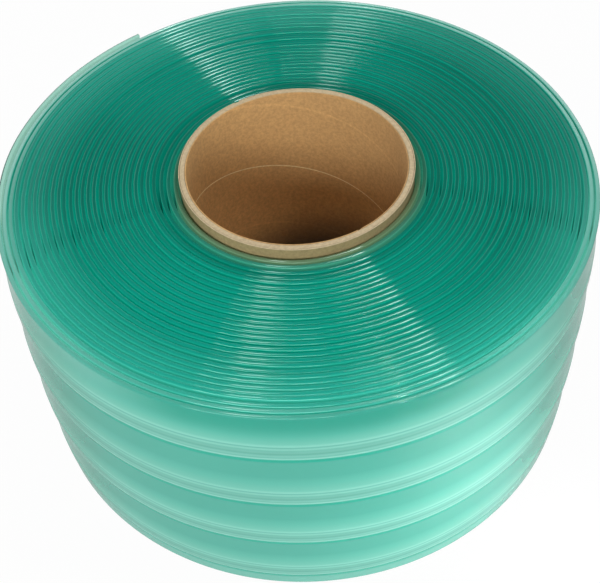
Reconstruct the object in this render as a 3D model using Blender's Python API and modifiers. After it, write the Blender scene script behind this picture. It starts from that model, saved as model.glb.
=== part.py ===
"""Bulk roll of double-ribbed PVC curtain strip, wound on a spiral-wound paper core.

The roll stands on its end: +Z is the core's axis, z = 0 is the floor, and the origin
is on the core's axis. Seen from above, the strip winds outward clockwise. Its free end
lifts off the roll at the left and swings about an upright hinge line there.
"""
import math

import bmesh
import bpy

# Driving dimensions, in metres
MM = 0.001

# Strip: a flat web with ribs on both faces
STRIP_WIDTH = 200 * MM
WEB_THICKNESS = 3 * MM
RIB_HEIGHT = 0.5 * MM
RIB_WIDTH = 14 * MM
RIB_SHOULDER = 1.5 * MM
TOP_RIB_DROP = 37.5 * MM
BOTTOM_RIB_RISE = 17 * MM
RIBS_PER_FACE = 4

# Roll
ROLL_DIAMETER = 412 * MM
FIXED_TURNS = 24
STEPS_PER_INNER_TURN = 24
STEPS_PER_OUTER_TURN = 48

# Free end of the strip
LIFT_OFF_ANGLE = math.radians(187.5)
TAIL_ARC = math.radians(63)
TAIL_LIFT = 1.5 * MM
TAIL_LIFT_ARC = math.radians(24)
TAIL_STEPS = 8

# Paper core
CORE_BORE = 152.4 * MM
CORE_WALL = 5 * MM
CORE_RIM_RISE = 4 * MM
CORE_STEPS = 96
PLY_THICKNESS = 0.6 * MM
PLY_LEAD = 120 * MM
PLY_SEAM_GAP = 1 * MM
LINER_SEAM_HEIGHT = 104 * MM
WRAP_SEAM_HEIGHT = 44 * MM

# Gap between pieces that touch, and the distance at which loose vertices join
SEAT_GAP = 0.3 * MM
MERGE_DISTANCE = 0.01 * MM

# Sizes that follow from the ones above
RIB_PITCH = (STRIP_WIDTH - TOP_RIB_DROP - BOTTOM_RIB_RISE) / (RIBS_PER_FACE - 1)
CORE_LENGTH = STRIP_WIDTH + CORE_RIM_RISE
CORE_INNER_RADIUS = CORE_BORE / 2
CORE_OUTER_RADIUS = CORE_INNER_RADIUS + CORE_WALL
BODY_INNER_RADIUS = CORE_INNER_RADIUS + PLY_THICKNESS + SEAT_GAP
BODY_OUTER_RADIUS = CORE_OUTER_RADIUS - PLY_THICKNESS - SEAT_GAP
HINGE_RADIUS = ROLL_DIAMETER / 2
LAST_MIDDLE_RADIUS = HINGE_RADIUS - RIB_HEIGHT - WEB_THICKNESS / 2
HALF_INNER_STEP = math.pi / STEPS_PER_INNER_TURN
FIRST_MIDDLE_RADIUS = (CORE_OUTER_RADIUS + SEAT_GAP) / math.cos(HALF_INNER_STEP) + WEB_THICKNESS / 2
TURN_PITCH = (LAST_MIDDLE_RADIUS - FIRST_MIDDLE_RADIUS) / FIXED_TURNS
STRIP_THICKNESS = WEB_THICKNESS + 2 * RIB_HEIGHT
FULL_TURN = 2 * math.pi


# Scene and collections

def clear_scene():
    for thing in list(bpy.data.objects):
        bpy.data.objects.remove(thing, do_unlink=True)


def new_collection(name):
    collection = bpy.data.collections.new(name)
    bpy.context.scene.collection.children.link(collection)
    return collection


def mark_as_guide(thing):
    thing.hide_render = True
    thing.display_type = "WIRE"


# Materials

def principled(name, color, roughness, transmission=0.0):
    material = bpy.data.materials.new(name)
    material.use_nodes = True
    shader = material.node_tree.nodes["Principled BSDF"]
    shader.inputs["Base Color"].default_value = (*color, 1.0)
    shader.inputs["Roughness"].default_value = roughness
    shader.inputs["Metallic"].default_value = 0.0
    shader.inputs["Transmission Weight"].default_value = transmission
    return material


# The strip's path: a spiral whose middle line grows by one pitch a turn

def spiral_point(turns_left, lift=0.0):
    """A point of the middle line, so many turns before the lift-off line (negative: past it)."""
    radius = LAST_MIDDLE_RADIUS - TURN_PITCH * turns_left + lift
    angle = LIFT_OFF_ANGLE + FULL_TURN * turns_left
    return (radius * math.cos(angle), radius * math.sin(angle), STRIP_WIDTH / 2)


def moved_along(point, distance):
    """The point moved clockwise along the strip's direction there."""
    angle = math.atan2(point[1], point[0])
    return (point[0] + distance * math.sin(angle), point[1] - distance * math.cos(angle), point[2])


def squared_start(points):
    """Starts the path half a seat gap late, and straight for one strip thickness."""
    return [moved_along(points[0], SEAT_GAP / 2), moved_along(points[0], STRIP_THICKNESS)] + points[1:]


def squared_end(points):
    """Ends the path half a seat gap early, and straight for one strip thickness."""
    return points[:-1] + [moved_along(points[-1], -STRIP_THICKNESS), moved_along(points[-1], -SEAT_GAP / 2)]


def inner_turn_points():
    steps = (FIXED_TURNS - 1) * STEPS_PER_INNER_TURN
    return [spiral_point(1 + (steps - i) / STEPS_PER_INNER_TURN) for i in range(steps + 1)]


def outer_turn_points():
    steps = STEPS_PER_OUTER_TURN
    return [spiral_point((steps - i) / steps) for i in range(steps + 1)]


def tail_points():
    points = []
    for i in range(TAIL_STEPS + 1):
        arc = TAIL_ARC * i / TAIL_STEPS
        rise = min(arc / TAIL_LIFT_ARC, 1)
        lift = TAIL_LIFT * (1 - math.cos(math.pi * rise)) / 2
        points.append(spiral_point(-arc / FULL_TURN, lift))
    return points


# The strip's sections, drawn clockwise across the thickness (x) and along the width (y)

def plain_section():
    half_web = WEB_THICKNESS / 2
    half_width = STRIP_WIDTH / 2
    return [(-half_web, -half_width), (-half_web, half_width), (half_web, half_width), (half_web, -half_width)]


def rib_centres():
    return [STRIP_WIDTH / 2 - TOP_RIB_DROP - RIB_PITCH * i for i in range(RIBS_PER_FACE)]


def ribbed_section():
    half_web = WEB_THICKNESS / 2
    half_width = STRIP_WIDTH / 2
    crest = half_web + RIB_HEIGHT
    foot = RIB_WIDTH / 2
    crown = foot - RIB_SHOULDER
    face = [(half_web, half_width)]
    for centre in rib_centres():
        face += [(half_web, centre + foot), (crest, centre + crown), (crest, centre - crown), (half_web, centre - foot)]
    face.append((half_web, -half_width))
    back = [(-x, y) for x, y in reversed(face)]
    return face + back


def section_curve(name, outline, guides):
    data = bpy.data.curves.new(name, "CURVE")
    data.dimensions = "2D"
    spline = data.splines.new("POLY")
    spline.points.add(len(outline) - 1)
    for point, (x, y) in zip(spline.points, outline):
        point.co = (x, y, 0, 1)
    spline.use_cyclic_u = True
    section = bpy.data.objects.new(name, data)
    guides.objects.link(section)
    mark_as_guide(section)
    return section


def sweep_strip(name, points, section, material, parts):
    data = bpy.data.curves.new(name, "CURVE")
    data.dimensions = "3D"
    data.twist_mode = "Z_UP"
    spline = data.splines.new("POLY")
    spline.points.add(len(points) - 1)
    for point, place in zip(spline.points, points):
        point.co = (*place, 1)
    data.bevel_mode = "OBJECT"
    data.bevel_object = section
    data.use_fill_caps = True
    data.materials.append(material)
    strip = bpy.data.objects.new(name, data)
    parts.objects.link(strip)
    return strip


# The core: turned body plies between two spiral-wound plies

def turn_profile(name, profile, collection, rise=0.0, turns=1):
    """Turns a closed profile about the core's axis, climbing by rise at each turn."""
    mesh = bpy.data.meshes.new(name)
    bm = bmesh.new()
    corners = [bm.verts.new((x, 0, z)) for x, z in profile]
    for a, b in zip(corners, corners[1:] + corners[:1]):
        bm.edges.new((a, b))
    bm.to_mesh(mesh)
    bm.free()
    turned = bpy.data.objects.new(name, mesh)
    collection.objects.link(turned)
    screw = turned.modifiers.new("turn", "SCREW")
    screw.steps = CORE_STEPS
    screw.render_steps = CORE_STEPS
    screw.screw_offset = rise
    screw.iterations = turns
    screw.use_merge_vertices = rise == 0
    screw.merge_threshold = MERGE_DISTANCE
    screw.use_smooth_shade = True
    return turned


def wall_profile(inner_radius, outer_radius, low, high):
    """A wall's section, which runs down its outer side."""
    return [(outer_radius, high), (outer_radius, low), (inner_radius, low), (inner_radius, high)]


def body_plies(material, parts):
    profile = wall_profile(BODY_INNER_RADIUS, BODY_OUTER_RADIUS, 0, CORE_LENGTH)
    body = turn_profile("core_wall", profile, parts)
    body.data.materials.append(material)


def trim_to_core_length(bm):
    """Cuts both ends of the ribbon off square, at the core's ends, and closes the cuts."""
    for height, outside in ((0, -1), (CORE_LENGTH, 1)):
        everything = bm.verts[:] + bm.edges[:] + bm.faces[:]
        bmesh.ops.bisect_plane(
            bm, geom=everything, dist=MERGE_DISTANCE,
            plane_co=(0, 0, height), plane_no=(0, 0, outside), clear_outer=True)
    bmesh.ops.holes_fill(bm, edges=[edge for edge in bm.edges if edge.is_boundary], sides=0)
    bmesh.ops.recalc_face_normals(bm, faces=bm.faces)


def wound_ply(name, inner_radius, seam_height, material, parts):
    """One paper ribbon wound as a helix, with a butt seam that meets +X at seam_height."""
    low = seam_height - PLY_LEAD * (1 + math.ceil(seam_height / PLY_LEAD))
    turns = math.ceil((CORE_LENGTH - low) / PLY_LEAD)
    half_gap = PLY_SEAM_GAP / 2
    profile = wall_profile(inner_radius, inner_radius + PLY_THICKNESS, low + half_gap, low + PLY_LEAD - half_gap)
    helix = turn_profile(name + "_helix", profile, parts, PLY_LEAD, turns)
    depsgraph = bpy.context.evaluated_depsgraph_get()
    mesh = bpy.data.meshes.new_from_object(helix.evaluated_get(depsgraph))
    bpy.data.objects.remove(helix, do_unlink=True)
    bm = bmesh.new()
    bm.from_mesh(mesh)
    trim_to_core_length(bm)
    bm.to_mesh(mesh)
    bm.free()
    mesh.materials.append(material)
    ply = bpy.data.objects.new(name, mesh)
    parts.objects.link(ply)


# A check on the winding, printed for whoever builds it

def least_self_gap(points):
    """Least clear distance between a turn and the next one out, measured on the path's points."""
    turn = STEPS_PER_INNER_TURN
    gaps = []
    for place, outer, after in zip(points, points[turn:], points[turn + 1:]):
        along = (after[0] - outer[0], after[1] - outer[1])
        to_inner = (place[0] - outer[0], place[1] - outer[1])
        across = abs(along[0] * to_inner[1] - along[1] * to_inner[0]) / math.hypot(*along)
        gaps.append(across - WEB_THICKNESS)
    return min(gaps)


def build():
    clear_scene()
    parts = new_collection("pvc_strip_roll")
    guides = new_collection("guides")

    pvc_inner = principled("pvc_turns", (0.02, 0.33, 0.26), 0.25, 0.4)
    pvc_outer = principled("pvc_outer_turn", (0.10, 0.55, 0.43), 0.2, 0.6)
    pvc_tail = principled("pvc_free_end", (0.20, 0.60, 0.50), 0.2, 0.6)
    kraft_body = principled("kraft_board", (0.50, 0.35, 0.20), 0.9)
    kraft_liner = principled("kraft_liner", (0.42, 0.25, 0.13), 0.85)
    kraft_wrap = principled("kraft_wrap", (0.45, 0.30, 0.16), 0.85)

    body_plies(kraft_body, parts)
    wound_ply("core_liner_ply", CORE_INNER_RADIUS, LINER_SEAM_HEIGHT, kraft_liner, parts)
    wound_ply("core_outer_ply", CORE_OUTER_RADIUS - PLY_THICKNESS, WRAP_SEAM_HEIGHT, kraft_wrap, parts)

    plain = section_curve("plain_section", plain_section(), guides)
    ribbed = section_curve("ribbed_section", ribbed_section(), guides)
    sweep_strip("wound_strip", squared_end(inner_turn_points()), plain, pvc_inner, parts)
    sweep_strip("outer_turn", squared_end(squared_start(outer_turn_points())), ribbed, pvc_outer, parts)
    tail = sweep_strip("strip_tail", squared_start(tail_points()), ribbed, pvc_tail, parts)
    hinge = bpy.data.objects.new("tail_hinge", None)
    hinge.location = (HINGE_RADIUS * math.cos(LIFT_OFF_ANGLE), HINGE_RADIUS * math.sin(LIFT_OFF_ANGLE), 0)
    parts.objects.link(hinge)
    tail.parent = hinge
    tail.matrix_parent_inverse.translation = -hinge.location

    print("turn pitch %.2f mm, least gap of the winding to itself %.2f mm" % (
        TURN_PITCH / MM, least_self_gap(inner_turn_points()) / MM))


build()
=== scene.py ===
"""The look of the PVC curtain strip roll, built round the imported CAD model.

The CAD frame is in metres: +Z is the core's axis, z = 0 is the floor, and the photo is
taken from -Y. The strip is one sweep of its section along the spiral, in three pieces that
join end to end. The core's pieces have the CAD's own meshes, fitted to the photo.
"""

import math

import bpy
import numpy as np
from mathutils import Matrix, Vector


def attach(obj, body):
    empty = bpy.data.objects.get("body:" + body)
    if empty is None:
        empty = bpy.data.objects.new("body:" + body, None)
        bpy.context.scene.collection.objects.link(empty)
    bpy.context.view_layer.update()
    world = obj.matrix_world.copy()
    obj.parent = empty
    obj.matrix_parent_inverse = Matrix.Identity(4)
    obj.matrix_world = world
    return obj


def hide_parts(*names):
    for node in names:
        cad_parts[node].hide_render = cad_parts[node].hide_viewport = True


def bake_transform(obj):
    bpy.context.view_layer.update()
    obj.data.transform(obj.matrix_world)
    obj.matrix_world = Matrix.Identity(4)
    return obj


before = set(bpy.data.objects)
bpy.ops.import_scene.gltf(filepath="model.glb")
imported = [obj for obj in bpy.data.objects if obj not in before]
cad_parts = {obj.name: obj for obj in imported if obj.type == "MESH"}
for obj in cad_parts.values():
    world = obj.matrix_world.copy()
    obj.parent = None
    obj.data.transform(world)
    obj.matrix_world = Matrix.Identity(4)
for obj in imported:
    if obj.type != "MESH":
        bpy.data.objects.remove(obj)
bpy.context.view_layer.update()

MM = 0.001
FULL_TURN = 2 * math.pi

# Section of the strip. The web sinks in by WEB_HOLLOW between two ribs.
STRIP_WIDTH = 200 * MM
HALF_WEB = 1.5 * MM
WEB_HOLLOW = 0.35 * MM
RIB_COUNT = 4
RIB_HEIGHT = 0.4 * MM
RIB_WIDTH = 14 * MM
RIB_SHOULDER = 2.5 * MM
RIB_PITCH = 49 * MM
TOP_RIB_DROP = 34.5 * MM
# Rounded edge, in shares of the half web and in mm below the edge
CROWN = ((0, 0), (0.25, 0.04), (0.5, 0.17), (0.72, 0.36), (0.88, 0.58), (0.97, 0.82), (1, 1.15))

# Spiral of the strip's middle, from the core to the lift-off line
TURNS = 29.73
FIRST_MIDDLE_RADIUS = 82.1 * MM
LAST_MIDDLE_RADIUS = 204 * MM
TURN_PITCH = (LAST_MIDDLE_RADIUS - FIRST_MIDDLE_RADIUS) / TURNS
LIFT_OFF_ANGLE = math.radians(187.5)
# The first turns on the core are circles, each with a step out in its last part
STEPPED_TURNS = 4
STEP_PART = 0.25
# Wobbles: size, waves in a turn, and the radius over which they shift by a radian
WOBBLES = ((0.12 * MM, 3, 14 * MM), (0.1 * MM, 5, -23 * MM))
# The outer turns are held in place, from this radius on
HELD_RADIUS = 185 * MM
HELD_FADE = 17 * MM
# Near the core the turns stand off at the back, by up to LOOSE_GAP
LOOSE_GAP = 1.1 * MM
LOOSE_ANGLE = math.radians(20)
LOOSE_START = 93.5 * MM
LOOSE_RISE = 3 * MM
LOOSE_END = 97 * MM
LOOSE_FADE = 60 * MM
# The winding is drawn in at its upper and lower edges, by up to BARREL at the outside
BARREL = 3 * MM
BARREL_START = 92 * MM
# Random values run over these turns. The free end's turns are below zero.
NOISE_START = -2
NOISE_TURNS = TURNS + 5
# Heights and leans of the uneven turns. The outermost ones are more even.
EVEN_TURNS = 0.6
EVEN_FADE = 1.5
EVEN_SHARE = 0.25
FLOOR_RISE = 0.4 * MM
SHORT_RISE = 0.2 * MM
FINE_RISE = 0.16 * MM
BROAD_LEAN = 0.32 * MM
SHORT_LEAN = 0.2 * MM
LEAN_START = 0.72

# Free end: its length, how far it opens, and the bend where it leaves the roll
TAIL_ARC = math.radians(63)
TAIL_RISE = 0.88 * MM
TAIL_LIFT = 1.5 * MM
TAIL_LIFT_ARC = math.radians(24)

# The three pieces of the strip meet at these places, in turns before the lift-off line
OUTER_TURNS = 3.0
SEAM_TURNS = 0.03
# Steps in a turn
INNER_STEPS = 72
OUTER_STEPS = 180
# Points across a rib's shoulder and across the web, with detail and without
SHOULDER_POINTS = (5, 2)
WEB_POINTS = (7, 2)

# Core
BORE_RADIUS = 76.2 * MM
CORE_LENGTH = 204 * MM
RIM_HEIGHT = 207.2 * MM
CORE_FIT = (0.981, 0.981, RIM_HEIGHT / CORE_LENGTH)
PLY_LEAD = 120 * MM
LINER_SEAM_HEIGHT = 104 * MM
UNDER_SEAM_HEIGHT = 165 * MM
# The liner's cut edge in its open seam: width, and how deep it lies in the bore's wall
LINER_EDGE_WIDTH = 1.1 * MM
LINER_EDGE_DEPTH = 0.08 * MM
LINER_EDGE_FOOT = 0.5 * MM
LINER_EDGE_STEPS = 160


def place_object(name, data):
    """A new object of the scene with this data."""
    thing = bpy.data.objects.new(name, data)
    bpy.context.scene.collection.objects.link(thing)
    return thing


# Strip geometry

def smooth(t):
    """An even step from 0 to 1 while t goes from 0 to 1."""
    t = np.clip(t, 0, 1)
    return t * t * (3 - 2 * t)


def noise_along(turns, per_turn, seed):
    """Smooth random values from -1 to 1 along the strip, with so many knots in a turn."""
    knots = np.random.default_rng(seed).uniform(-1, 1, int(NOISE_TURNS * per_turn))
    place = (turns - NOISE_START) * per_turn
    low = np.floor(place).astype(int)
    share = smooth(place - low)
    return knots[low] * (1 - share) + knots[low + 1] * share


def path(turns):
    """Middle radius and azimuth of the strip, so many turns before the lift-off line."""
    azimuth = LIFT_OFF_ANGLE + FULL_TURN * turns
    fixed = np.clip(turns, 0, None)
    arc = np.clip(-turns * FULL_TURN, 0, None)
    lift = TAIL_LIFT * (1 - np.cos(np.pi * np.clip(arc / TAIL_LIFT_ARC, 0, 1))) / 2
    radius = LAST_MIDDLE_RADIUS - TURN_PITCH * fixed + TAIL_RISE * arc / TAIL_ARC + lift

    wound = TURNS - fixed
    step = np.floor(wound) + smooth((wound - np.floor(wound) - (1 - STEP_PART)) / STEP_PART)
    radius = radius + TURN_PITCH * (step - wound) * (1 - smooth(wound / STEPPED_TURNS))

    free = 1 - smooth((radius - HELD_RADIUS) / HELD_FADE)
    wobble = sum(size * np.sin(waves * azimuth + radius / shift) for size, waves, shift in WOBBLES)
    loose = smooth((radius - LOOSE_START) / LOOSE_RISE)
    loose = loose * (1 - smooth((radius - LOOSE_END) / LOOSE_FADE))
    window = np.clip(np.sin(azimuth - LOOSE_ANGLE), 0, 1)
    return radius + free * (wobble + LOOSE_GAP * loose * window), azimuth


def unevenness(turns):
    """How far the strip stands off the floor, and how far its upper edge leans out."""
    inner = smooth((turns - EVEN_TURNS) / EVEN_FADE)
    broad = noise_along(turns, per_turn=3, seed=11) * (EVEN_SHARE + (1 - EVEN_SHARE) * inner)
    short = noise_along(turns, per_turn=9, seed=12) * inner
    rise = FLOOR_RISE * (1 + broad) + SHORT_RISE * short
    rise = np.clip(rise + FINE_RISE * noise_along(turns, per_turn=24, seed=15), 0, None)
    lean = BROAD_LEAN * noise_along(turns, per_turn=5, seed=13)
    lean = (lean + SHORT_LEAN * noise_along(turns, per_turn=14, seed=14)) * inner
    return rise, lean


def half_section(detail):
    """The outer half of the section, from the middle of the top edge down to the bottom edge."""
    points = [(x * HALF_WEB, STRIP_WIDTH - y * MM) for x, y in CROWN]
    level = 0 if detail else 1
    shoulder = np.linspace(0, 1, SHOULDER_POINTS[level])
    hollow = np.linspace(0, 1, WEB_POINTS[level])[1:-1]
    foot = RIB_WIDTH / 2
    previous = STRIP_WIDTH
    for i in range(RIB_COUNT):
        centre = STRIP_WIDTH - TOP_RIB_DROP - RIB_PITCH * i
        for t in hollow:
            y = previous + (centre + foot - previous) * t
            points.append((HALF_WEB - WEB_HOLLOW * 4 * t * (1 - t), y))
        for t in shoulder:
            climb = RIB_HEIGHT * float(smooth(t))
            points.append((HALF_WEB + climb, centre + foot - RIB_SHOULDER * t))
        for t in shoulder[::-1]:
            climb = RIB_HEIGHT * float(smooth(t))
            points.append((HALF_WEB + climb, centre - foot + RIB_SHOULDER * t))
        previous = centre - foot
    lower = CROWN if detail else CROWN[::3]
    points += [(x * HALF_WEB, y * MM) for x, y in reversed(lower)]
    return points


def end_cap(row, half_count, count):
    """Faces that close the section at one row of its rings. The two halves are joined across."""
    last = half_count - 1
    for i in range(last):
        if i == 0:
            loop = [0, 1, count - 1]
        elif i == last - 1:
            loop = [last - 1, last, last + 1]
        else:
            loop = [i, i + 1, count - i - 1, count - i]
        yield [row * count + v for v in loop]


def sweep(name, first, last, steps_per_turn, detail, body, replaces, material,
          closed_ends):
    """A piece of strip from one place on the spiral to another, both in turns before lift-off.

    With detail, the section has rounder ribs and the hollow web.
    """
    steps = max(2, round(abs(first - last) * steps_per_turn))
    turns = np.linspace(first, last, steps + 1)
    radius, azimuth = path(turns)
    rise, lean = unevenness(turns)

    half = half_section(detail)
    ring = half + [(-x, y) for x, y in half[-2:0:-1]]
    count = len(ring)
    x = np.array([p[0] for p in ring])
    y = np.array([p[1] for p in ring])
    upper = smooth((y / STRIP_WIDTH - LEAN_START) / (1 - LEAN_START))
    outside = (radius - BARREL_START) / (LAST_MIDDLE_RADIUS - BARREL_START)
    drawn_in = BARREL * np.clip(outside, 0, 1)
    off_middle = (2 * y / STRIP_WIDTH - 1) ** 2

    r = radius[:, None] + x[None, :] + lean[:, None] * upper[None, :]
    r = r - drawn_in[:, None] * off_middle[None, :]
    z = y[None, :] + rise[:, None]
    co = np.stack([r * np.cos(azimuth)[:, None], r * np.sin(azimuth)[:, None], z], axis=-1)

    base = (np.arange(steps) * count)[:, None]
    j = np.arange(count)
    k = (j + 1) % count
    quads = np.stack([base + j, base + k, base + k + count, base + j + count], axis=-1)
    faces = quads.reshape(-1, 4).tolist()
    if closed_ends[0]:
        faces += [loop[::-1] for loop in end_cap(0, len(half), count)]
    if closed_ends[1]:
        faces += end_cap(steps, len(half), count)

    mesh = bpy.data.meshes.new(name)
    mesh.from_pydata(co.reshape(-1, 3).tolist(), [], faces)
    mesh.update()
    attributes = {
        "turns": np.repeat(turns, count),
        "height": np.tile(y, steps + 1),
        "out": np.tile(np.clip(x / HALF_WEB, -1, 1), steps + 1),
    }
    for label, values in attributes.items():
        attribute = mesh.attributes.new(label, "FLOAT", "POINT")
        attribute.data.foreach_set("value", values.astype(np.float32))
    mesh.shade_smooth()
    mesh.materials.append(material)
    piece = place_object(name, mesh)
    if body:
        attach(piece, body)
    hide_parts(*replaces)
    return piece


# Materials

def rgb(*values):
    """A colour with full alpha from sRGB values of 0 to 255."""
    linear = ((v / 255 / 12.92) if v <= 10 else ((v / 255 + 0.055) / 1.055) ** 2.4 for v in values)
    return (*linear, 1)


class Nodes:
    """Short ways to build the node tree of a material or a world."""

    def __init__(self, owner, output):
        owner.use_nodes = True
        self.owner = owner
        self.tree = owner.node_tree
        self.tree.nodes.clear()
        self.output = self.tree.nodes.new(output)

    def put(self, node, key, value):
        """Links the value to the input, or sets it there when it is a plain value."""
        socket = node.inputs[key]
        if isinstance(value, bpy.types.NodeSocket):
            self.tree.links.new(value, socket)
        elif isinstance(value, bpy.types.Node):
            self.tree.links.new(value.outputs[0], socket)
        else:
            socket.default_value = value

    def add(self, kind, **inputs):
        """A new node with these inputs. An underscore stands for a space in their names."""
        node = self.tree.nodes.new(kind)
        for key, value in inputs.items():
            self.put(node, key.replace("_", " "), value)
        return node

    def finish(self, shader):
        """Links the shader to the output, and gives back the material or world."""
        self.put(self.output, "Surface", shader)
        return self.owner

    def math(self, operation, a, b=0.0, clamp=False):
        node = self.tree.nodes.new("ShaderNodeMath")
        node.operation = operation
        node.use_clamp = clamp
        self.put(node, 0, a)
        self.put(node, 1, b)
        return node.outputs[0]

    def plus(self, a, b):
        return self.math("ADD", a, b)

    def minus(self, a, b, clamp=False):
        return self.math("SUBTRACT", a, b, clamp)

    def times(self, first, *others):
        for other in others:
            first = self.math("MULTIPLY", first, other)
        return first

    def largest(self, a, b):
        return self.math("MAXIMUM", a, b)

    def absolute(self, value):
        return self.math("ABSOLUTE", value)

    def span(self, value, low, high, start=0.0, end=1.0):
        """A smooth step from start to end, while the value goes from low to high."""
        node = self.add("ShaderNodeMapRange", Value=value, From_Min=low, From_Max=high,
                        To_Min=start, To_Max=end)
        node.interpolation_type = "SMOOTHSTEP"
        return node.outputs[0]

    def mix(self, share, a, b, blend="MIX"):
        """Colour a with a share of colour b. The colour inputs of the node are 6 and 7."""
        node = self.tree.nodes.new("ShaderNodeMix")
        node.data_type = "RGBA"
        node.blend_type = blend
        self.put(node, 0, share)
        self.put(node, 6, a)
        self.put(node, 7, b)
        return node.outputs[2]

    def mix_shaders(self, share, a, b):
        """Shader a with a share of shader b."""
        node = self.tree.nodes.new("ShaderNodeMixShader")
        for key, value in enumerate((share, a, b)):
            self.put(node, key, value)
        return node

    def ramp(self, value, stops):
        node = self.tree.nodes.new("ShaderNodeValToRGB")
        band = node.color_ramp
        while len(band.elements) < len(stops):
            band.elements.new(0.5)
        for element, (place, color) in zip(band.elements, stops):
            element.position = place
            element.color = color
        self.put(node, 0, value)
        return node.outputs[0]

    def attribute(self, name):
        node = self.tree.nodes.new("ShaderNodeAttribute")
        node.attribute_name = name
        return node.outputs["Fac"]

    def noise(self, vector, scale, detail, roughness):
        return self.add("ShaderNodeTexNoise", Vector=vector, Scale=scale, Detail=detail,
                        Roughness=roughness).outputs[0]

    def place(self, kind="Object"):
        """A texture coordinate, whole and as x, y and z."""
        coords = self.add("ShaderNodeTexCoord").outputs[kind]
        return coords, *self.add("ShaderNodeSeparateXYZ", Vector=coords).outputs


def material_nodes(name):
    return Nodes(bpy.data.materials.new(name), "ShaderNodeOutputMaterial")


PVC_ROUGHNESS = 0.07
PVC_IOR = 1.53
PVC_SPECULAR_TINT = (0.8, 1.0, 0.93, 1)
PVC_SEE_THROUGH = (0.64, 0.87, 0.80, 1)
ROLL_OPACITY = 0.85
END_OPACITY = 0.5
OUTLINE_OPACITY = 0.9
GLOW = 0.25

# Colours of the outer face over one rib pitch, downwards, mostly painted light and shade. The
# rib's middle is at 0.5, and the bright and the green line are in its lower shoulder. The bright
# line is a painted highlight, the green line is painted shade under the rib, the fine lines over
# the rib are painted refraction of the ribs of the turns beneath, and each band is painted lighter
# downwards as the shade of the hollow web.
WALL_BANDS_PAINTED_LIGHT = [
    (0.0, rgb(76, 168, 150)), (0.16, rgb(92, 180, 162)), (0.30, rgb(110, 188, 170)),
    (0.345, rgb(134, 204, 188)), (0.364, rgb(98, 170, 154)), (0.388, rgb(130, 198, 182)),
    (0.415, rgb(106, 178, 161)), (0.455, rgb(112, 180, 164)), (0.485, rgb(96, 168, 152)),
    (0.525, rgb(120, 190, 174)), (0.555, rgb(104, 176, 160)), (0.578, rgb(140, 208, 192)),
    (0.588, rgb(132, 204, 188)), (0.602, rgb(14, 166, 141)), (0.654, rgb(18, 168, 144)),
    (0.684, rgb(76, 168, 150)),
]
TOP_BAND = rgb(38, 150, 130)
TOP_BAND_SIDES = rgb(96, 176, 160)
BOTTOM_BAND = rgb(120, 194, 177)
# Painted shade: the outer face is darker at the far sides of the roll
FAR_SIDES_SHADE = (0.7, 0.86, 0.8, 1)

# Colours of the turns' edges and of the gaps between them. The gaps' colours are painted light,
# which makes up for the shade in the gaps.
DEEP_GREEN = rgb(1, 98, 82)
DEEP_GREEN_LIT = rgb(2, 139, 120)
PALE_BACK = rgb(70, 153, 137)
PALE_FRONT = rgb(32, 149, 130)
LAST_TURN_BACK = rgb(146, 194, 182)
LAST_TURN_FRONT = rgb(72, 156, 139)
GAP_INNER_LIT = rgb(3, 128, 108)
GAP_OUTER_LIT = rgb(50, 152, 134)
PALE_SIDES = rgb(100, 170, 156)
# Painted shade of the looser gap between the turns near the core
SHADED_RING = rgb(4, 92, 76)
BOARD_BACK = rgb(66, 98, 66)
BOARD_FRONT = rgb(112, 104, 62)

# Colours of the free end
END_NEAR = rgb(164, 206, 192)
# Painted shade: a dark line along the free end's outer upper edge
END_SHADE_LINE = rgb(54, 90, 81)

# Ranges over which something sets in, from none to full. X and Y are places on the roll, DROP
# is below the strip's upper edge, FACE is how far out in its thickness, TURNS is before
# lift-off, and LINE is in rib pitches as in WALL_BANDS_PAINTED_LIGHT.
FRONT_Y = (0.06, -0.17)
FRONT_SIDES_X = (0.07, 0.14)
FRONT_SIDES_Y = (0.0, -0.06)
FAR_SIDES_X = (0.125, 0.175)
BACK_Y = (0.05, 0.13)
FLANKS_Y = (0.10, 0.0)
RIGHT_X = (0.02, 0.16)
OUTER_FACE = (-0.2, 0.4)
TOP_BAND_DROP = (26 * MM, 4 * MM)
BOTTOM_BAND_DROP = (187 * MM, 192 * MM)
GAP_DROP = (0.05 * MM, 0.8 * MM)
GAP_END_DROP = (44 * MM, 10 * MM)
PALE_TURNS = (13.0, 0.5)
PALE_SIDES_TURNS = (3.0, 0.3)
LAST_TURN_TURNS = (2.8, 0.9)
RING_TURNS = (TURNS - 4.6, TURNS - 3.4)
RING_END_TURNS = (TURNS - 1.8, TURNS - 2.8)
BOARD_TURNS = (TURNS - 2.2, TURNS - 0.2)
BOARD_FRONT_Y = (0.0, -0.05)
WALL_DROP = (0.6 * MM, 3 * MM)
WALL_TURNS = (2.6, 1.9)
SOLID_TURNS = (0.8, 1.2)
# The painted shade line under each rib
SHADE_LINE = (0.590, 0.604)
SHADE_LINE_END = (0.680, 0.654)
END_TURNS = (0.01, -0.01)
END_TOP_DROP = (12 * MM, 3 * MM)
END_INNER_FACE = (0.5, -0.2)
END_SEE_TURNS = (SEAM_TURNS, -0.035)
OUTLINE_FACE = (0.0, 0.4)
OUTLINE_DROP = (1.7 * MM, 0.9 * MM)
LIT_Y = (0.06, -0.12)
LIT_DROP = (1.5 * MM, 6 * MM)
LESS_LIT_X = (0.0, 0.16)
AWAY_Y = (0.0, 0.09)
LOW_DROP = (60 * MM, 170 * MM)
LAST_WALL_TURNS = (1.03, 0.99)

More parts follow.
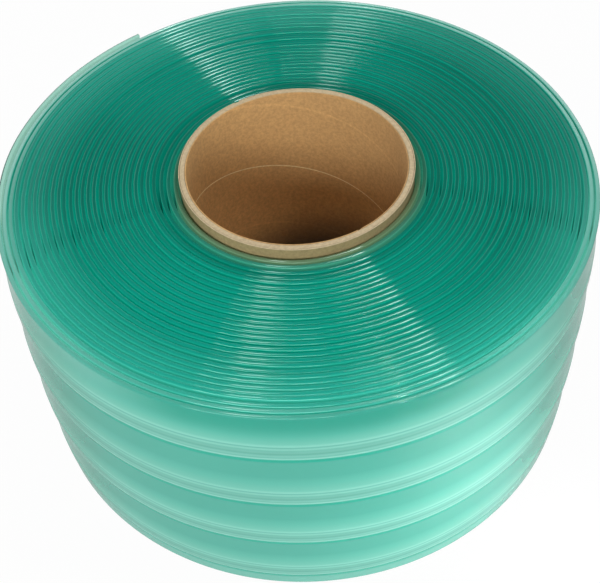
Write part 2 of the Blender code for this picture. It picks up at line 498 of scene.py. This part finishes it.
# Clouds, and how much of each thing sets in. SHADE is towards DEEP_GREEN_LIT or, with LESS,
# away from it.
CLOUD_NOISE = {"scale": 9.0, "detail": 3.0, "roughness": 0.55}
CLOUD_SHADE = 0.6
FRONT_SHADE = 0.5
BACK_SHADE = 0.15
FLANKS_LESS_SHADE = 0.35
RIGHT_LESS_SHADE = 0.45
PALE_SHARE = 0.55
PALE_FRONT_SHARE = 0.45
PALE_LESS_SHARE = 0.5
PALE_SIDES_SHARE = 0.4
BOTTOM_BAND_SHARE = 0.7
RING_SHARE = 0.35
BOARD_SHARE = 0.62


def pvc_material(name, free_end):
    """Translucent green PVC. Its colour deepens with the turns that lie over each other.

    The attributes are the place along the strip in turns before lift-off, the height on the
    strip, and how far out in its thickness, from -1 to 1.
    """
    n = material_nodes(name)
    turns = n.attribute("turns")
    height = n.attribute("height")
    out = n.attribute("out")
    coords, x, y, _ = n.place()
    from_top = n.minus(STRIP_WIDTH, height)
    pitches = n.math("DIVIDE", n.minus(from_top, TOP_RIB_DROP), RIB_PITCH)
    phase = n.math("FRACT", n.plus(pitches, 0.5))
    across = n.absolute(x)

    # Where things are: the front of the roll, its front sides, its far sides, the gaps
    front = n.span(y, *FRONT_Y)
    front_sides = n.times(n.span(across, *FRONT_SIDES_X), n.span(y, *FRONT_SIDES_Y))
    far_sides = n.span(across, *FAR_SIDES_X)
    gap = n.times(n.span(from_top, *GAP_DROP), n.span(from_top, *GAP_END_DROP))

    # Outer face, with painted light and shade over the ribs
    top_band = n.mix(front_sides, TOP_BAND, TOP_BAND_SIDES)
    wall = n.ramp(phase, WALL_BANDS_PAINTED_LIGHT)
    wall = n.mix(n.span(from_top, *TOP_BAND_DROP), wall, top_band)
    # Painted shade at the far sides of the roll
    wall = n.mix(far_sides, wall, FAR_SIDES_SHADE, "MULTIPLY")
    wall = n.mix(n.span(from_top, *BOTTOM_BAND_DROP, end=BOTTOM_BAND_SHARE), wall, BOTTOM_BAND)

    # Edges of the turns: painted shade makes them deeper at the left, the right and the back
    # right, painted light lighter at the front and a little at the back, with random clouds; they
    # are paler outwards, by a share that the painted light and shade also set
    cloud = n.noise(coords, **CLOUD_NOISE)
    shade = n.plus(n.times(cloud, CLOUD_SHADE), n.times(front, FRONT_SHADE))
    shade = n.plus(shade, n.span(y, *BACK_Y, end=BACK_SHADE))
    flank = n.span(n.absolute(y), *FLANKS_Y, end=FLANKS_LESS_SHADE)
    flank = n.plus(flank, n.span(x, *RIGHT_X, end=RIGHT_LESS_SHADE))
    deep = n.mix(n.minus(shade, flank, clamp=True), DEEP_GREEN, DEEP_GREEN_LIT)
    share = n.minus(PALE_SHARE, n.times(flank, PALE_LESS_SHARE))
    share = n.plus(n.times(front, PALE_FRONT_SHARE), share)
    pale = n.times(n.span(turns, *PALE_TURNS), share)
    crown = n.mix(pale, deep, n.mix(front, PALE_BACK, PALE_FRONT))
    last_turn = n.mix(front, LAST_TURN_BACK, LAST_TURN_FRONT)
    crown = n.mix(n.span(turns, *LAST_TURN_TURNS), crown, last_turn)
    # Painted light in the gaps between the turns, which makes up for their shade
    crown = n.mix(gap, crown, n.mix(pale, GAP_INNER_LIT, GAP_OUTER_LIT))
    pale_sides = n.times(front_sides, n.span(turns, *PALE_SIDES_TURNS, end=PALE_SIDES_SHARE))
    crown = n.mix(pale_sides, crown, PALE_SIDES)

    # Near the core: a darker ring, which is painted shade of the looser gap there, and the board
    # that shows through the first turns
    ring = n.times(n.span(turns, *RING_TURNS), n.span(turns, *RING_END_TURNS))
    crown = n.mix(n.times(ring, RING_SHARE), crown, SHADED_RING)
    board = n.mix(n.span(y, *BOARD_FRONT_Y), BOARD_BACK, BOARD_FRONT)
    crown = n.mix(n.span(turns, *BOARD_TURNS, end=BOARD_SHARE), crown, board)

    outer_face = n.span(out, *OUTER_FACE)
    on_wall = n.times(n.span(from_top, *WALL_DROP), n.span(turns, *WALL_TURNS), outer_face)
    color = n.mix(on_wall, crown, wall)
    if free_end:
        beyond = n.span(turns, *END_TURNS)
        upper_or_inner = n.largest(n.span(from_top, *END_TOP_DROP), n.span(out, *END_INNER_FACE))
        color = n.mix(n.times(beyond, upper_or_inner), color, END_NEAR)
        # Painted shade: a dark line along the outer upper edge of the free end
        outline = n.times(n.span(out, *OUTLINE_FACE), n.span(from_top, *OUTLINE_DROP), beyond)
        color = n.mix(outline, color, END_SHADE_LINE)

    # The painted shade lines under the ribs mirror less at the far sides of the roll
    shade_line = n.times(n.span(phase, *SHADE_LINE), n.span(phase, *SHADE_LINE_END))
    shade_line = n.times(shade_line, on_wall, far_sides)
    specular = n.span(shade_line, 0.0, 1.0, start=0.5, end=0.15)

    # Painted glow, as emission, that stands for light coming through the strip: in the gaps, on
    # the side away from the light and low
    last_wall = n.times(outer_face, n.span(turns, *LAST_WALL_TURNS))
    lit = n.span(y, *LIT_Y, start=1.7, end=2.5)
    lit = n.plus(lit, n.span(from_top, *LIT_DROP, end=0.3))
    lit = n.times(lit, n.span(x, *LESS_LIT_X, start=1.0, end=0.85))
    away = n.span(n.times(out, y), *AWAY_Y, start=0.3, end=0.85)
    away = n.times(away, n.minus(1.0, last_wall))
    away = n.largest(away, n.span(from_top, *LOW_DROP, start=0.3, end=0.6))
    glow = n.times(n.largest(n.times(n.minus(gap, last_wall), lit), away), GLOW)

    shader = n.add("ShaderNodeBsdfPrincipled", Base_Color=color, Roughness=PVC_ROUGHNESS,
                   IOR=PVC_IOR, Specular_Tint=PVC_SPECULAR_TINT, Specular_IOR_Level=specular,
                   Emission_Color=color, Emission_Strength=glow)
    see = n.add("ShaderNodeBsdfTransparent", Color=PVC_SEE_THROUGH)
    if free_end:
        opacity = n.span(turns, *END_SEE_TURNS, start=ROLL_OPACITY, end=END_OPACITY)
        opacity = n.largest(opacity, n.times(outline, OUTLINE_OPACITY))
    else:
        opacity = n.span(turns, *SOLID_TURNS, start=ROLL_OPACITY, end=1.0)
    return n.finish(n.mix_shaders(opacity, see, shader))


RIM_COLOR = rgb(196, 176, 142)
RIM_EDGE = RIM_HEIGHT - 0.4 * MM
RIM_TOP = RIM_HEIGHT - 0.1 * MM
KRAFT_ROUGHNESS = 0.85
BUMP_HEIGHT = 0.3 * MM
BUMP_STRENGTH = 0.25
BOARD_NOISE = {"scale": 14.0, "detail": 4.0, "roughness": 0.6}
FIBRE_NOISE = {"scale": 420.0, "detail": 3.0, "roughness": 0.7}
# The pressed line in the bore, in ply leads from its middle
PRESSED_LINE = (0.012, 0.004)
# Painted shade in the bore, by height: dark at the bottom, which lies higher at the right, and
# less bright on top
BORE_SHADE_Z = (0.04, 0.099)
BORE_SHADE_TILT = 0.25
BORE_TOP_SHADE_Z = (0.09, 0.19)


def kraft_material(name, base, dark, seed, inside=False, rim=None):
    """Kraft board. The seed shifts its clouds and fibres.

    Inside the bore it has the pressed line of the ply under it, and painted shade that darkens it
    downwards and towards the right. With a rim colour, the sawn top edge has that colour.
    """
    n = material_nodes(name)
    coords, x, y, z = n.place()
    mapping = n.add("ShaderNodeMapping", Vector=coords, Location=(seed, 0, 0))
    broad = n.noise(mapping, **BOARD_NOISE)
    fibre = n.noise(mapping, **FIBRE_NOISE)
    color = n.mix(broad, base, dark)
    if rim:
        color = n.mix(n.span(z, RIM_EDGE, RIM_TOP), color, rim)
    shade = n.span(fibre, 0.25, 0.75, start=0.8, end=1.1)
    if inside:
        climb = n.times(n.math("ARCTAN2", y, x), PLY_LEAD / FULL_TURN)
        rise = n.minus(n.minus(z, climb), UNDER_SEAM_HEIGHT)
        phase = n.math("FRACT", n.plus(n.math("DIVIDE", rise, PLY_LEAD), 0.5))
        off_line = n.absolute(n.minus(phase, 0.5))
        pressed_line = n.span(off_line, *PRESSED_LINE, start=1.0, end=1.12)
        tilted = n.minus(z, n.times(x, BORE_SHADE_TILT))
        bore_shade = n.span(tilted, *BORE_SHADE_Z, start=0.14, end=1.24)
        shade = n.times(shade, pressed_line, bore_shade)
        # Painted light and shade: the bore is lighter at the left and darker at the right
        shade = n.times(shade, n.span(x, -BORE_RADIUS, BORE_RADIUS, start=1.1, end=0.88))
        shade = n.times(shade, n.span(z, *BORE_TOP_SHADE_Z, start=1.04, end=0.8))
    grey = n.add("ShaderNodeCombineColor", Red=shade, Green=shade, Blue=shade)
    color = n.mix(1.0, color, grey, "MULTIPLY")
    bump = n.add("ShaderNodeBump", Strength=BUMP_STRENGTH, Distance=BUMP_HEIGHT, Height=fibre)
    return n.finish(n.add("ShaderNodeBsdfPrincipled", Base_Color=color,
                          Roughness=KRAFT_ROUGHNESS, Normal=bump))


# Pieces of the strip

pvc = pvc_material("pvc", free_end=False)
pvc_end = pvc_material("pvc_end", free_end=True)
sweep("strip_inner_turns", TURNS, OUTER_TURNS, INNER_STEPS, False,
      "roll", ["wound_strip"], pvc, (True, False))
sweep("strip_outer_turns", OUTER_TURNS, SEAM_TURNS, OUTER_STEPS, True,
      "roll", ["outer_turn"], pvc, (False, False))
free_end = sweep("strip_free_end", SEAM_TURNS, -TAIL_ARC / FULL_TURN, OUTER_STEPS, True,
                 None, ["strip_tail"], pvc_end, (False, True))
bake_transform(free_end)


# Pieces of the core

def core_piece(name, mesh, replaces, material):
    """A piece of the core from a mesh at the CAD's size.

    It is fitted to the photo, where the core is slimmer and stands higher out of the winding.
    """
    co = np.empty(len(mesh.vertices) * 3, np.float32)
    mesh.vertices.foreach_get("co", co)
    fitted = co.reshape(-1, 3) * CORE_FIT
    mesh.vertices.foreach_set("co", fitted.astype(np.float32).ravel())
    mesh.materials.clear()
    mesh.materials.append(material)
    mesh.update()
    piece = place_object(name, mesh)
    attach(piece, "roll")
    if replaces:
        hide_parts(*replaces)


def seam_filler():
    """The cut edge of the liner, which shows in its butt seam all the way up the bore. Its pale
    colour is partly its own and partly painted light, which makes up for the shade in the seam.
    """
    half = LINER_EDGE_WIDTH / 2
    inner, outer = BORE_RADIUS + LINER_EDGE_DEPTH, BORE_RADIUS + LINER_EDGE_FOOT
    corners = ((inner, -half), (inner, half), (outer, half), (outer, -half))
    first = (half - LINER_SEAM_HEIGHT) / PLY_LEAD
    last = (CORE_LENGTH - half - LINER_SEAM_HEIGHT) / PLY_LEAD
    steps = LINER_EDGE_STEPS
    co, faces = [], []
    for i in range(steps + 1):
        turn = first + (last - first) * i / steps
        angle = FULL_TURN * turn
        z = LINER_SEAM_HEIGHT + PLY_LEAD * turn
        for radius, rise in corners:
            co.append((radius * math.cos(angle), radius * math.sin(angle), z + rise))
    for i in range(steps):
        for j in range(4):
            a, b = 4 * i + j, 4 * i + (j + 1) % 4
            faces.append((a, a + 4, b + 4, b))
    faces += [(0, 1, 2, 3), tuple(4 * steps + j for j in (3, 2, 1, 0))]
    mesh = bpy.data.meshes.new("core_seam_edge")
    mesh.from_pydata(co, [], faces)
    kraft = kraft_material("kraft_seam", rgb(250, 232, 180), rgb(238, 216, 160), seed=3)
    core_piece("core_seam_edge", mesh, [], kraft)


for name, node, slot, base, dark in (
        ("core_tube", "core_wall", "core_board", RIM_COLOR, rgb(176, 156, 122)),
        ("core_liner", "core_liner_ply", "core_liner", rgb(208, 166, 108), rgb(186, 145, 92)),
        ("core_wrap", "core_outer_ply", "core_wrap", rgb(160, 142, 100), rgb(138, 120, 82))):
    kraft = kraft_material("kraft_" + node, base, dark, seed=len(node),
                           inside=node == "core_liner_ply",
                           rim=RIM_COLOR if node == "core_outer_ply" else None)
    core_piece(name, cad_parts[node].data.copy(), [node], kraft)
seam_filler()


# Floor and sky

WHITE = (1, 1, 1, 1)
FLOOR_HALF = 4
FLOOR_GREY = (0.6, 0.6, 0.6, 1)
FLOOR_MIRRORED = 0.6
FLOOR_SEEN_SHARE = 0.97
FLOOR_MIRRORED_LESS = 0.47
SKY_COLOR = (0.95, 0.98, 1.0, 1)
SKY_LOW, SKY_HIGH = 0.12, 0.45
SKY_BRIGHT, SKY_DIM = 0.95, 0.09
DIFFUSE_FILL = 0.2


def ray_kinds(n):
    """Three values of 0 or 1: for mirrored or transmitted rays, camera rays and diffuse rays."""
    rays = n.add("ShaderNodeLightPath").outputs
    mirrored = n.largest(rays["Is Glossy Ray"], rays["Is Transmission Ray"])
    return mirrored, rays["Is Camera Ray"], rays["Is Diffuse Ray"]


def floor_material():
    """White for the camera, dimmer in mirrors, and grey for the light that falls on it."""
    n = material_nodes("floor")
    mirrored, camera_ray, _ = ray_kinds(n)
    seen = n.largest(camera_ray, mirrored)
    white = n.add("ShaderNodeEmission", Color=WHITE,
                  Strength=n.span(mirrored, 0.0, 1.0, start=1.0, end=FLOOR_MIRRORED))
    plain = n.add("ShaderNodeBsdfDiffuse", Color=FLOOR_GREY)
    share = n.minus(n.times(seen, FLOOR_SEEN_SHARE), n.times(mirrored, FLOOR_MIRRORED_LESS))
    return n.finish(n.mix_shaders(share, plain, white))


def studio_world():
    """White for the camera, and for mirrored rays near the horizon. It is dim above."""
    n = Nodes(bpy.data.worlds.new("studio"), "ShaderNodeOutputWorld")
    mirrored, camera_ray, diffuse_ray = ray_kinds(n)
    _, _, _, level = n.place("Generated")
    ceiling = n.span(level, SKY_LOW, SKY_HIGH, start=SKY_BRIGHT, end=SKY_DIM)
    soft = n.add("ShaderNodeBackground", Color=SKY_COLOR,
                 Strength=n.plus(n.times(diffuse_ray, DIFFUSE_FILL), ceiling))
    white = n.add("ShaderNodeBackground", Color=WHITE, Strength=1.0)
    near_horizon = n.math("LESS_THAN", level, SKY_LOW)
    seen = n.largest(camera_ray, n.times(near_horizon, mirrored))
    return n.finish(n.mix_shaders(seen, soft, white))


mesh = bpy.data.meshes.new("floor")
corners = [(x * FLOOR_HALF, y * FLOOR_HALF, 0) for x, y in ((-1, -1), (1, -1), (1, 1), (-1, 1))]
mesh.from_pydata(corners, [], [(0, 1, 2, 3)])
mesh.materials.append(floor_material())
floor = place_object("floor", mesh)
bpy.context.scene.world = studio_world()


# Lights

LIGHT_TARGET = Vector((0, 0, 0.15))
SPOT_SOFTNESS = 0.08


def area_light(name, start, end, width, power):
    """A strip light from one place to the other, which faces the roll."""
    data = bpy.data.lights.new(name, "AREA")
    data.shape = "RECTANGLE"
    along = Vector(end) - Vector(start)
    data.size, data.size_y = along.length, width
    data.energy = power
    lamp = place_object(name, data)
    middle = (Vector(start) + Vector(end)) / 2
    x_axis = along.normalized()
    away = middle - LIGHT_TARGET
    z_axis = (away - x_axis * away.dot(x_axis)).normalized()
    turn = Matrix((x_axis, z_axis.cross(x_axis), z_axis)).transposed()
    lamp.matrix_world = Matrix.Translation(middle) @ turn.to_4x4()
    return lamp


def spot_light(name, place, target, cone, power):
    """A soft-edged beam on one place. The cone is in degrees."""
    data = bpy.data.lights.new(name, "SPOT")
    data.energy = power
    data.spot_size = math.radians(cone)
    data.spot_blend = 1.0
    data.shadow_soft_size = SPOT_SOFTNESS
    lamp = place_object(name, data)
    way = Vector(place) - Vector(target)
    turn = way.to_track_quat("Z", "Y").to_matrix().to_4x4()
    lamp.matrix_world = Matrix.Translation(Vector(place)) @ turn


area_light("tube_left", start=(-0.13, 0.65, 1.7), end=(-0.32, -0.20, 1.7), width=0.15, power=3.5)
area_light("tube_right", start=(0.11, 0.65, 1.7), end=(0.88, -0.45, 1.7), width=0.13, power=9.2)
back_fill = area_light("back_fill", start=(-1.2, 1.9, 0.8), end=(1.2, 1.9, 0.8), width=0.8,
                       power=14)
back_fill.visible_glossy = False
area_light("low_front", start=(0.2, -1.7, 0.9), end=(-1.05, -1.3, 0.9), width=0.5, power=19)
spot_light("beam_right", (0.65, -1.12, 0.95), target=(0.105, -0.18, 0.085), cone=8, power=115)
spot_light("beam_floor", (0.2, -0.245, 1.6), target=(0.2, -0.245, 0), cone=6.5, power=450)


# Camera, fitted to the photo's outline. Its distances are in radii of the roll.

CAMERA_ELEVATION = 0.85436
CAMERA_ROLL = -0.0667
CAMERA_DISTANCE = 3.96629
CAMERA_RIGHT = 0.01621
CAMERA_UP = 0.07557
ROLL_RADIUS = 206 * MM
ROLL_MIDDLE = Vector((0, 0, 0.1))
FOCAL_PIXELS = 1095.5
PHOTO_PIXELS = 600
SENSOR = 36

data = bpy.data.cameras.new("camera")
data.sensor_width = SENSOR
data.lens = FOCAL_PIXELS * SENSOR / PHOTO_PIXELS
camera = place_object("camera", data)
back = Vector((0, -math.cos(CAMERA_ELEVATION), math.sin(CAMERA_ELEVATION)))
right = Vector((1, 0, 0))
up = back.cross(right)
offset = back * CAMERA_DISTANCE - right * CAMERA_RIGHT - up * CAMERA_UP
turned_right = right * math.cos(CAMERA_ROLL) + up * math.sin(CAMERA_ROLL)
turned_up = up * math.cos(CAMERA_ROLL) - right * math.sin(CAMERA_ROLL)
turn = Matrix((turned_right, turned_up, back)).transposed()
camera.matrix_world = Matrix.Translation(offset * ROLL_RADIUS + ROLL_MIDDLE) @ turn.to_4x4()
bpy.context.scene.camera = camera

bpy.context.scene.view_settings.view_transform = "Standard"
